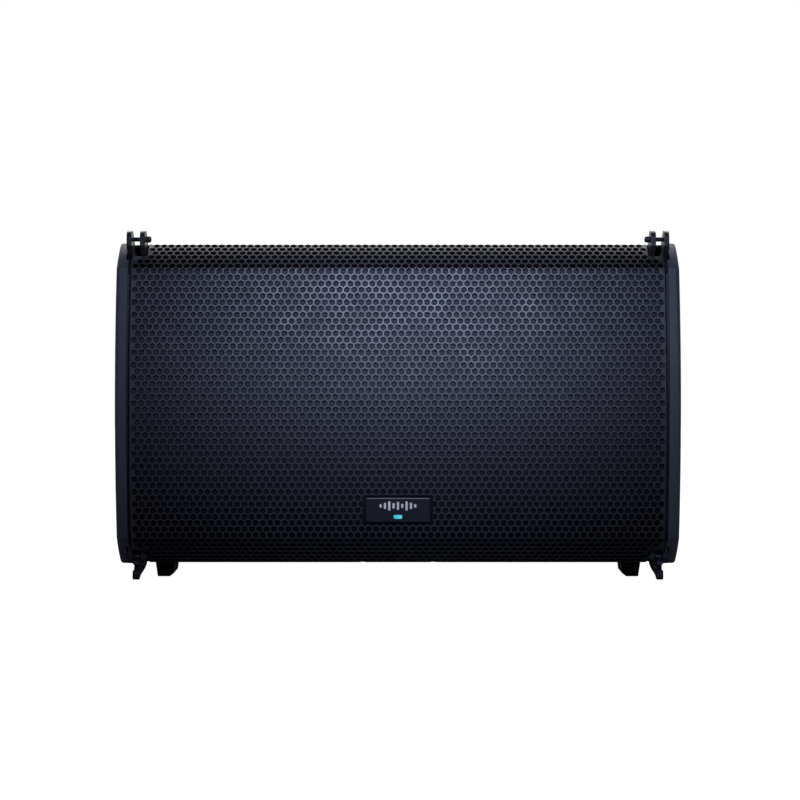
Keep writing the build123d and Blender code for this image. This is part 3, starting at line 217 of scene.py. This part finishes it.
def foam_material():
    """Open-cell foam: dark pores in a bluish skin, with painted shade, black above the crease and
    fading to black downwards.
    """
    surface = Surface("acoustic_foam")
    pores = surface.add("ShaderNodeTexVoronoi", Scale=FOAM_PORE_SCALE)
    surface.link(surface.place, pores.inputs["Vector"])
    cells = pores.outputs["Distance"]
    parts = surface.add("ShaderNodeSeparateXYZ")
    surface.link(surface.place, parts.inputs[0])
    # Painted shade: the foam turns black above the crease and fades to black towards the bottom
    above = surface.ramp(parts.outputs["Z"], FOAM_TOP_SHADE_SPAN, FULL)
    below = surface.ramp(parts.outputs["Z"], FOAM_BOTTOM_SHADE_SPAN, (1.0, 0.0))
    tone = surface.mix(surface.ramp(cells, (0.1, 0.7), FULL), FOAM_PORE, FOAM_SKIN)
    tone = surface.mix(above, tone, FOAM_SHADE_BLACK)
    tone = surface.mix(below, tone, FOAM_SHADE_BLACK)
    surface.shade(
        Base_Color=tone,
        Roughness=surface.ramp(surface.noise(400.0), MID_NOISE, (0.8, 0.95)),
        Normal=surface.bump(cells, 0.4 * MM),
        Specular_IOR_Level=0.08,
    )
    return surface.material


def led_material():
    """Lens lit from behind, a little uneven where the two emitters sit."""
    surface = Surface("indicator_lens")
    glow = surface.noise(260.0, detail=2.0)
    colour = surface.mix(surface.ramp(glow, MID_NOISE, FULL), LED_DIM, LED_BRIGHT)
    surface.shade(
        Base_Color=colour,
        Emission_Color=colour,
        Emission_Strength=LED_GLOW,
        Roughness=surface.ramp(glow, WIDE_NOISE, (0.25, 0.4)),
    )
    return surface.material


def woven_material(name, colour, pitch):
    """Plain weave from two crossed wave patterns, with one thread to each pitch."""
    surface = Surface(name)
    cross = surface.add("ShaderNodeMath")
    cross.operation = "MULTIPLY"
    for socket, direction in zip(cross.inputs, ("X", "Z")):
        wave = surface.add("ShaderNodeTexWave", Scale=1 / (pitch * WAVE_THREADS), Distortion=1.0)
        wave.bands_direction = direction
        surface.link(surface.place, wave.inputs["Vector"])
        surface.link(wave.outputs["Fac"], socket)
    weave = cross.outputs["Value"]
    surface.shade(
        Base_Color=surface.mix(weave, tinted(colour, 0.6), tinted(colour, 1.3)),
        Roughness=surface.ramp(surface.noise(200.0), MID_NOISE, (0.7, 0.9)),
        Normal=surface.bump(weave, 0.2 * MM),
    )
    return surface.material


def wood_material():
    """Birch ply: long pale grain."""
    surface = Surface("birch_ply")
    grain = surface.noise(30.0, detail=8.0, roughness=0.7, stretch=(1.0, 0.15, 6.0))
    surface.shade(
        Base_Color=surface.mix(surface.ramp(grain, MID_NOISE, FULL), PLY_DARK, PLY_PALE),
        Roughness=surface.ramp(grain, WIDE_NOISE, (0.5, 0.7)),
        Normal=surface.bump(grain, 0.2 * MM),
    )
    return surface.material


materials = {
    "cabinet_paint": finish_of(
        "cabinet_coating", (0.018, 0.019, 0.024), rough=0.8,
        grain=420, depth=0.35, wear=0.18, specular=0.25),
    "grille_paint": finish_of(
        "grille_powder_coat", (0.017, 0.018, 0.023), rough=0.52,
        grain=1400, depth=0.006, spread=0.08, specular=0.9),
    "foam": foam_material(),
    "cap_plastic": finish_of(
        "end_cap_plastic", (0.075, 0.084, 0.104), rough=0.5, grain=1100, depth=0.05, wear=0.12),
    "black_plastic": finish_of(
        "moulded_black", (0.016, 0.017, 0.021), rough=0.5, grain=1000, depth=0.06),
    "badge": finish_of(
        "badge_plate_satin", (0.018, 0.019, 0.026), rough=0.36, grain=2200, depth=0.01),
    "rigging_steel": finish_of(
        "rigging_powder_coat", (0.028, 0.030, 0.038), rough=0.4, grain=1300, depth=0.03, wear=0.6),
    "pin_steel": finish_of(
        "black_pin", (0.016, 0.017, 0.02), rough=0.3, grain=1600, depth=0.01, wear=0.2),
    "zinc": finish_of(
        "zinc_plate", (0.30, 0.31, 0.33), rough=0.5, metallic=1.0,
        grain=700, depth=0.003, brushed=(1, 8, 1)),
    "foot_rubber": finish_of(
        "foot_rubber", (0.016, 0.016, 0.020), rough=0.7, grain=800, depth=0.08),
    "red_plastic": finish_of(
        "red_button", (0.45, 0.02, 0.02), rough=0.35, grain=1500, depth=0.01),
    "panel_aluminium": finish_of(
        "black_anodised", (0.030, 0.031, 0.035), rough=0.38, metallic=0.6,
        grain=1500, depth=0.02, brushed=(0.2, 1, 6), wear=0.2),
    "socket_blue": finish_of(
        "blue_moulding", (0.03, 0.08, 0.32), rough=0.35, grain=1500, depth=0.01),
    "socket_grey": finish_of(
        "grey_moulding", (0.28, 0.29, 0.31), rough=0.4, grain=1500, depth=0.01),
    "knob_plastic": finish_of(
        "soft_touch", (0.020, 0.020, 0.024), rough=0.6, grain=1500, depth=0.02),
    "display": finish_of(
        "display_glass", (0.004, 0.008, 0.014), rough=0.08, grain=300, depth=0.002, spread=0.3),
    "driver_metal": finish_of(
        "cast_frame", (0.03, 0.03, 0.033), rough=0.6, metallic=0.3, grain=500, depth=0.2),
    "ferrite": finish_of(
        "ferrite", (0.05, 0.05, 0.055), rough=0.55, metallic=0.4, grain=700, depth=0.08),
    "copper": finish_of(
        "copper_winding", (0.6, 0.28, 0.12), rough=0.35, metallic=1.0,
        grain=900, depth=0.05, brushed=(1, 30, 1)),
    "cone_paper": finish_of(
        "cone_pulp", (0.02, 0.02, 0.022), rough=0.8, grain=300, depth=0.3),
    "surround_rubber": finish_of(
        "surround_rubber", (0.015, 0.015, 0.017), rough=0.6, grain=900, depth=0.03),
    "titanium": finish_of(
        "formed_titanium", (0.45, 0.45, 0.48), rough=0.3, metallic=1.0, grain=1200, depth=0.01),
    "cable": finish_of(
        "cable_sheath", (0.02, 0.02, 0.02), rough=0.5, grain=900, depth=0.03),
    "screw_black": finish_of(
        "black_oxide", (0.025, 0.026, 0.03), rough=0.38, metallic=0.7,
        grain=1500, depth=0.02, wear=0.4),
    "circuit_board": finish_of(
        "solder_mask", (0.02, 0.12, 0.05), rough=0.35, grain=600, depth=0.02),
    "wadding": woven_material("wadding", (0.22, 0.22, 0.24), pitch=4 * MM),
    "spider_cloth": woven_material("spider_cloth", (0.45, 0.33, 0.12), pitch=1 * MM),
    "bare_ply": wood_material(),
    "led": led_material(),
}
# Light grey of the strip along the badge's top edge: a painted highlight of the plate's top bevel
edge_highlight_material = finish_of(
    "badge_edge_painted_highlight", (0.24, 0.24, 0.25), rough=0.4, grain=1800, depth=0.01)
mark_material = finish_of(
    "badge_mark_silver", (0.95, 0.92, 0.84), rough=0.4, grain=1800, depth=0.01, spread=0.06)

for node_name, slot in slots.items():
    carried_materials = nodes[node_name].data.materials
    carried_materials.clear()
    carried_materials.append(materials[slot])

# ------------------------------------------------------------------ new objects


def add_object(name, data):
    """A new object in the scene."""
    added = bpy.data.objects.new(name, data)
    bpy.context.scene.collection.objects.link(added)
    return added


def object_from(mesh, name, material):
    """A new object in the scene from a finished bmesh, which is freed."""
    data = bpy.data.meshes.new(name)
    mesh.to_mesh(data)
    mesh.free()
    data.materials.append(material)
    return add_object(name, data)


def quads_between(ring, next_ring):
    """The quads that join two closed rings with the same number of corners."""
    count = len(ring)
    return [
        [ring[n], ring[(n + 1) % count], next_ring[(n + 1) % count], next_ring[n]]
        for n in range(count)
    ]


# ------------------------------------------------------------------ perforated grille
# Sheet metal
SHEET_INSET = 0.9 * MM
SHEET_T = 1.5 * MM
SHEET_HALF = 323 * MM
BEND_R = 1.6 * MM
BEND_STEPS = 4
SIDE_FLANGE = 12 * MM
TOP_FLANGE = 11 * MM
FLAT_HALF = SHEET_HALF - BEND_R

# Holes, notched corners and the opening behind the badge
PITCH = 8.8 * MM
ROW_STEP = PITCH * sqrt(3) / 2
HOLE_FLATS = 7.0 * MM
ROWS_EACH_WAY = 30
COLUMNS_EACH_WAY = 38
EDGE_MARGIN = 1.2 * MM
END_MARGIN = 1 * MM
NOTCH_X = 304 * MM
NOTCH_Z = 394.6 * MM
NOTCH_MARGIN = 0.8 * MM
BADGE_GAP_U = 3.4 * MM
BADGE_GAP_V = 2.0 * MM

# Steps of the searches along the curve (TURN_STEP in radians), vertex grid and tolerance
SEARCH_STEP = 0.1 * MM
BADGE_SEARCH_FROM = -10 * MM
TURN_STEP = 0.002
KEYS_PER_METRE = 1e6
TOUCHING = 1e-9


def circle_through(start, end, bulge):
    """Centre and radius of the arc from start to end that bulges to the left of the chord."""
    (y0, z0), (y1, z1) = start, end
    chord = hypot(y1 - y0, z1 - z0)
    radius = (chord**2 / 4 + bulge**2) / (2 * bulge)
    across = ((z1 - z0) / chord, -(y1 - y0) / chord)
    back = radius - bulge
    return ((y0 + y1) / 2 + across[0] * back, (z0 + z1) / 2 + across[1] * back), radius


class SideCurve:
    """The sheet's outer face seen from the side, an inset within the box's own outline.

    It is followed by arc length from mid height, up and down alike: a bowed front, a crease, a
    bulging shoulder, and the sloping top.
    """

    def __init__(self, inset):
        self.front_centre = (FRONT_Y + BOW_RADIUS, MID_Z)
        self.front_r = BOW_RADIUS - inset
        crease_ahead = sqrt(BOW_RADIUS**2 - CREASE_HALF**2)
        crease = (self.front_centre[0] - crease_ahead, MID_Z + CREASE_HALF)
        shoulder = (SHOULDER_Y, MID_Z + HALF_H)
        self.turn_centre, turn_r = circle_through(crease, shoulder, SHOULDER_BULGE)
        self.turn_r = turn_r - inset
        away_y = self.front_centre[0] - self.turn_centre[0]
        away_z = self.turn_centre[1] - self.front_centre[1]
        apart = hypot(away_y, away_z)
        open_cos = (self.front_r**2 + apart**2 - self.turn_r**2) / (2 * self.front_r * apart)
        crease_angle = atan2(away_z, away_y) + acos(open_cos)
        start_y, start_z = self.bowed(crease_angle)
        self.turn_from = atan2(start_z - self.turn_centre[1], self.turn_centre[0] - start_y)
        self.turn_to = self.turn_from
        while self.turned(self.turn_to)[1] < self.top_z(self.turned(self.turn_to)[0], inset):
            self.turn_to += TURN_STEP
        self.front_length = self.front_r * crease_angle
        self.length = self.front_length + self.turn_r * (self.turn_to - self.turn_from)

    @staticmethod
    def top_z(y, inset):
        """Height of the box's sloping top, less the inset."""
        return MID_Z + HALF_H - (y - SHOULDER_Y) * tan(TAPER) - inset / cos(TAPER)

    def bowed(self, angle):
        """Point on the bowed front."""
        y = self.front_centre[0] - self.front_r * cos(angle)
        return y, self.front_centre[1] + self.front_r * sin(angle)

    def turned(self, angle):
        """Point on the shoulder."""
        y = self.turn_centre[0] - self.turn_r * cos(angle)
        return y, self.turn_centre[1] + self.turn_r * sin(angle)

    def at(self, along):
        """Point and outward normal at an arc length; below mid height the curve is mirrored."""
        flip = -1 if along < 0 else 1
        run = abs(along)
        if run <= self.front_length:
            angle = run / self.front_r
            y, z = self.bowed(angle)
        elif run <= self.length:
            angle = self.turn_from + (run - self.front_length) / self.turn_r
            y, z = self.turned(angle)
        else:
            y, z = self.turned(self.turn_to)
            past = run - self.length
            y, z = y + past * cos(TAPER), z - past * sin(TAPER)
            angle = pi / 2 + TAPER
        normal = Vector((0, -cos(angle), flip * sin(angle)))
        return Vector((0, y, MID_Z + flip * (z - MID_Z))), normal

    def reaches(self, height, start, step):
        """The arc length at which the curve, followed in steps from start, reaches a height."""
        along = start
        while (self.at(along)[0].z - height) * step < 0:
            along += step
        return along


curve = SideCurve(SHEET_INSET)
end_v = curve.length + TOP_FLANGE
notch_v = curve.reaches(NOTCH_Z, 0.0, SEARCH_STEP)
badge_low, badge_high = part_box("badge_plate")
badge_half_h = (badge_high.z - badge_low.z) / 2
badge_v = curve.reaches((badge_low.z + badge_high.z) / 2, BADGE_SEARCH_FROM, -SEARCH_STEP)
opening_u = badge_high.x + BADGE_GAP_U
opening_v = badge_half_h + BADGE_GAP_V


def clipped(points, low_u, high_u, low_v, high_v):
    """A convex outline cut to a rectangle."""
    for axis, limit, keep in ((0, low_u, 1), (0, high_u, -1), (1, low_v, 1), (1, high_v, -1)):
        result = []
        for here, there in zip(points, points[1:] + points[:1]):
            inside = (here[axis] - limit) * keep >= -TOUCHING
            inside_next = (there[axis] - limit) * keep >= -TOUCHING
            if inside:
                result.append(here)
            if inside != inside_next:
                share = (limit - here[axis]) / (there[axis] - here[axis])
                crossing = [a + share * (b - a) for a, b in zip(here, there)]
                crossing[axis] = limit
                result.append(tuple(crossing))
        points = result
        if len(points) < 3:
            return []
    return points


def hexagon(u, v, flats):
    """Corners of a hexagon that is flats wide and stands on a corner."""
    corner = flats / sqrt(3)
    return [(u + corner * sin(pi * n / 3), v + corner * cos(pi * n / 3)) for n in range(6)]


def is_open(u, v):
    """Whether the sheet is punched at this place."""
    reach_u = abs(u) + HOLE_FLATS / 2 + EDGE_MARGIN
    reach_v = abs(v) + HOLE_FLATS / sqrt(3)
    if abs(u) + PITCH / 2 > FLAT_HALF:
        return False
    if reach_v + NOTCH_MARGIN > notch_v and reach_u > NOTCH_X:
        return False
    return reach_v <= curve.length + END_MARGIN


def bend_side(mesh, rim, side):
    """Carries one side edge on in a quarter turn and a flange; rim is its corners from below."""
    columns = []
    for v, corner in rim:
        place, normal = curve.at(v)
        column = [corner]
        for step in range(1, BEND_STEPS + 1):
            angle = step * pi / 2 / BEND_STEPS
            sunk = place - normal * BEND_R * (1 - cos(angle))
            u = side * (FLAT_HALF + BEND_R * sin(angle))
            column.append(mesh.verts.new((u, sunk.y, sunk.z)))
        sunk = place - normal * SIDE_FLANGE
        column.append(mesh.verts.new((side * SHEET_HALF, sunk.y, sunk.z)))
        columns.append(column)
    for low, high in zip(columns, columns[1:]):
        for n in range(BEND_STEPS + 1):
            mesh.faces.new([low[n], low[n + 1], high[n + 1], high[n]])


def perforated_sheet():
    """The bent sheet's outer face with its hexagonal holes; a solidify gives it thickness."""
    mesh = bmesh.new()
    known = {}

    def point(u, v):
        key = (round(u * KEYS_PER_METRE), round(v * KEYS_PER_METRE))
        if key not in known:
            place, _ = curve.at(v)
            known[key] = mesh.verts.new((u, place.y, place.z))
        return known[key]

    def face(outline):
        corners = []
        for u, v in outline:
            corner = point(u, v)
            if corner not in corners:
                corners.append(corner)
        if len(corners) > 2:
            mesh.faces.new(corners)

    zones = [
        (-FLAT_HALF, -NOTCH_X, -notch_v, notch_v),
        (-NOTCH_X, -opening_u, -end_v, end_v),
        (-opening_u, opening_u, -end_v, badge_v - opening_v),
        (-opening_u, opening_u, badge_v + opening_v, end_v),
        (opening_u, NOTCH_X, -end_v, end_v),
        (NOTCH_X, FLAT_HALF, -notch_v, notch_v),
    ]
    for row in range(-ROWS_EACH_WAY, ROWS_EACH_WAY + 1):
        v = row * ROW_STEP
        shift = 0.5 if row % 2 else 0.0
        for column in range(-COLUMNS_EACH_WAY, COLUMNS_EACH_WAY + 1):
            u = (column + shift) * PITCH
            cell = hexagon(u, v, PITCH)
            outlines = [cell]
            if is_open(u, v):
                outlines = quads_between(cell, hexagon(u, v, HOLE_FLATS))
            for outline in outlines:
                for zone in zones:
                    face(clipped(outline, *zone))

    for side in (-1, 1):
        edge = round(side * FLAT_HALF * KEYS_PER_METRE)
        rim = sorted((key[1] / KEYS_PER_METRE, corner) for key, corner in known.items()
                     if key[0] == edge)
        bend_side(mesh, rim, side)

    bmesh.ops.recalc_face_normals(mesh, faces=mesh.faces)
    foremost = min(mesh.faces, key=lambda each: each.calc_center_median().y)
    if foremost.normal.y > 0:
        bmesh.ops.reverse_faces(mesh, faces=mesh.faces)
    sheet = object_from(mesh, "grille_perforated", materials["grille_paint"])
    solid = sheet.modifiers.new("thickness", "SOLIDIFY")
    solid.thickness = SHEET_T
    solid.offset = -1
    return sheet


grille = perforated_sheet()
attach(grille, "cabinet")
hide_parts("grille")

# ------------------------------------------------------------------ badge
BADGE_T = 2.6 * MM
SUNK = 0.05 * MM

# Generic mark: heights of its bars in millimetres
MARK_BARS = (4.5, 8.0, 11.5, 7.0, 10.0, 5.5, 11.5, 8.0, 4.5)
MARK_PITCH = 5.2 * MM
MARK_BAR_W = 2.9 * MM
MARK_T = 0.5 * MM
MARK_RAISE = 5.0 * MM
MARK_STEPS = 16
# Height off the plate and share of the outline, ring by ring
MARK_RINGS = ((-SUNK, 1.0), (0.6 * MARK_T, 1.0), (MARK_T, 0.86))

# A thin strip along the badge plate's top edge, coloured as a painted highlight of the plate's top
# bevel
EDGE_HIGHLIGHT_H = 1.1 * MM
EDGE_HIGHLIGHT_T = 0.5 * MM
EDGE_HIGHLIGHT_FROM_EDGE = 1.3 * MM
EDGE_HIGHLIGHT_END = 1.6 * MM

plate_place, outwards = curve.at(badge_v)
plate_front = plate_place + outwards * BADGE_T
sideways = Vector((1, 0, 0))
upwards = outwards.cross(sideways)


def on_badge(across, up, out):
    """A place measured from the middle of the badge plate's front."""
    return plate_front + sideways * across + upwards * up + outwards * out


def badge_mark():
    """A row of rounded level bars standing a little off the badge plate."""
    mesh = bmesh.new()
    radius = MARK_BAR_W / 2
    for index, tall in enumerate(MARK_BARS):
        middle = (index - (len(MARK_BARS) - 1) / 2) * MARK_PITCH
        straight = tall * MM / 2 - radius
        outline = []
        for step in range(MARK_STEPS):
            angle = 2 * pi * (step + 0.5) / MARK_STEPS
            lift = straight if sin(angle) > 0 else -straight
            outline.append((radius * cos(angle), lift + radius * sin(angle)))
        rings = [
            [
                mesh.verts.new(on_badge(middle + x * share, MARK_RAISE + z * share, out))
                for x, z in outline
            ]
            for out, share in MARK_RINGS
        ]
        mesh.faces.new(rings[-1])
        mesh.faces.new(rings[0][::-1])
        for lower, upper in zip(rings, rings[1:]):
            for quad in quads_between(lower, upper):
                mesh.faces.new(quad)
    bmesh.ops.recalc_face_normals(mesh, faces=mesh.faces)
    return object_from(mesh, "badge_mark", mark_material)


def badge_edge_highlight():
    """A thin raised strip along the badge plate's upper edge, light grey as a painted highlight of
    the plate's top bevel.
    """
    mesh = bmesh.new()
    bmesh.ops.create_cube(mesh, size=1.0)
    length = badge_high.x - badge_low.x - 2 * EDGE_HIGHLIGHT_END
    height = badge_half_h - EDGE_HIGHLIGHT_FROM_EDGE
    for corner in mesh.verts:
        x, y, z = corner.co
        corner.co = on_badge(x * length, height + z * EDGE_HIGHLIGHT_H, (y + 0.5) * EDGE_HIGHLIGHT_T - SUNK)
    bmesh.ops.recalc_face_normals(mesh, faces=mesh.faces)
    return object_from(mesh, "badge_edge_highlight", edge_highlight_material)


for badge_piece in (badge_mark(), badge_edge_highlight()):
    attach(badge_piece, "cabinet")


def coil_spring(side):
    """The hook's return spring, a copy of the carried spring's mesh that stays with the cabinet.
    """
    carried = nodes["hook_spring_" + side]
    spring = add_object("return_spring_" + side, carried.data.copy())
    spring.matrix_world = carried.matrix_world
    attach(spring, "cabinet")
    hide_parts(carried.name)
    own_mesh(spring)


for side in ("left", "right"):
    coil_spring(side)

# ------------------------------------------------------------------ studio
FLOOR_HALF = 12.0
FLOOR_DROP = 0.2 * MM
FLOOR_DARK = (0.16, 0.165, 0.175)
FLOOR_LIGHT = (0.2, 0.205, 0.215)

# Y part of a direction, 1 straight behind, at which the lit wall begins and at which it is full
WALL_SPAN = (0.13, 0.58)
ROOM_DIM = (0.030, 0.034, 0.048)
WALL_WHITE = (0.9, 0.9, 0.92)

COOL = (0.62, 0.70, 1.0)
NEUTRAL = (1.0, 1.0, 1.0)


def studio_floor():
    """A wide pale floor: white to look at, and a dimmer bounce for the object."""
    data = bpy.data.meshes.new("studio_floor")
    corners = [
        (x * FLOOR_HALF, y * FLOOR_HALF, -FLOOR_DROP)
        for x, y in ((-1, -1), (1, -1), (1, 1), (-1, 1))
    ]
    data.from_pydata(corners, [], [(0, 1, 2, 3)])
    floor = add_object("studio_floor", data)
    surface = Surface("studio_floor")
    surface.shade(
        Base_Color=surface.mix(surface.noise(2.0), FLOOR_DARK, FLOOR_LIGHT),
        Roughness=0.9,
        Emission_Color=(1, 1, 1, 1),
        Emission_Strength=surface.add("ShaderNodeLightPath").outputs["Is Camera Ray"],
    )
    data.materials.append(surface.material)


def studio_world():
    """White to look at; for the object, a white wall behind and a dim blue room in front."""
    world = bpy.data.worlds.new("studio")
    bpy.context.scene.world = world
    wires = Wires(world)
    seen = wires.tree.nodes["Background"]
    seen.inputs["Color"].default_value = (1, 1, 1, 1)
    parts = wires.add("ShaderNodeSeparateXYZ")
    wires.link(wires.add("ShaderNodeTexCoord").outputs["Generated"], parts.inputs[0])
    wall = wires.ramp(parts.outputs["Y"], WALL_SPAN, FULL, smooth=True)
    fill = wires.add("ShaderNodeBackground")
    wires.link(wires.mix(wall, ROOM_DIM, WALL_WHITE), fill.inputs["Color"])
    choose = wires.add("ShaderNodeMixShader")
    wires.link(wires.add("ShaderNodeLightPath").outputs["Is Camera Ray"], choose.inputs[0])
    wires.link(fill.outputs[0], choose.inputs[1])
    wires.link(seen.outputs[0], choose.inputs[2])
    wires.link(choose.outputs[0], wires.tree.nodes["World Output"].inputs["Surface"])


def area_light(name, place, target, size, power, colour, spread):
    """A rectangular softbox aimed at a point; its spread is in degrees."""
    data = bpy.data.lights.new(name, "AREA")
    data.shape = "RECTANGLE"
    data.size, data.size_y = size
    data.energy = power
    data.spread = radians(spread)
    data.color = colour
    lamp = add_object(name, data)
    lamp.location = place
    lamp.rotation_euler = (Vector(target) - Vector(place)).to_track_quat("-Z", "Y").to_euler()
    lamp.visible_camera = False


studio_floor()
studio_world()
area_light(
    "key_softbox", place=(0.02, -1.55, 0.84), target=(0.02, FRONT_Y, 0.33), size=(0.22, 0.18),
    power=0.83, colour=COOL, spread=34)
area_light(
    "back_softbox", place=(0.0, 1.5, 2.5), target=(0.0, FRONT_Y, 0.4), size=(2.4, 0.9),
    power=20, colour=NEUTRAL, spread=120)

# ------------------------------------------------------------------ camera
# The view is FRAME_WIDTH wide at the front of the box
CAMERA_DISTANCE = 2.2
CAMERA_X = 2.5 * MM
CAMERA_LIFT = 4 * MM
FRAME_WIDTH = 0.9587
SENSOR = 36.0

camera_data = bpy.data.cameras.new("camera")
camera_data.sensor_width = SENSOR
camera_data.lens = SENSOR * CAMERA_DISTANCE / FRAME_WIDTH
camera = add_object("camera", camera_data)
camera.location = (CAMERA_X, FRONT_Y - CAMERA_DISTANCE, MID_Z + CAMERA_LIFT)
camera.rotation_euler = (pi / 2, 0, 0)
bpy.context.scene.camera = camera
bpy.context.scene.view_settings.view_transform = "Standard"
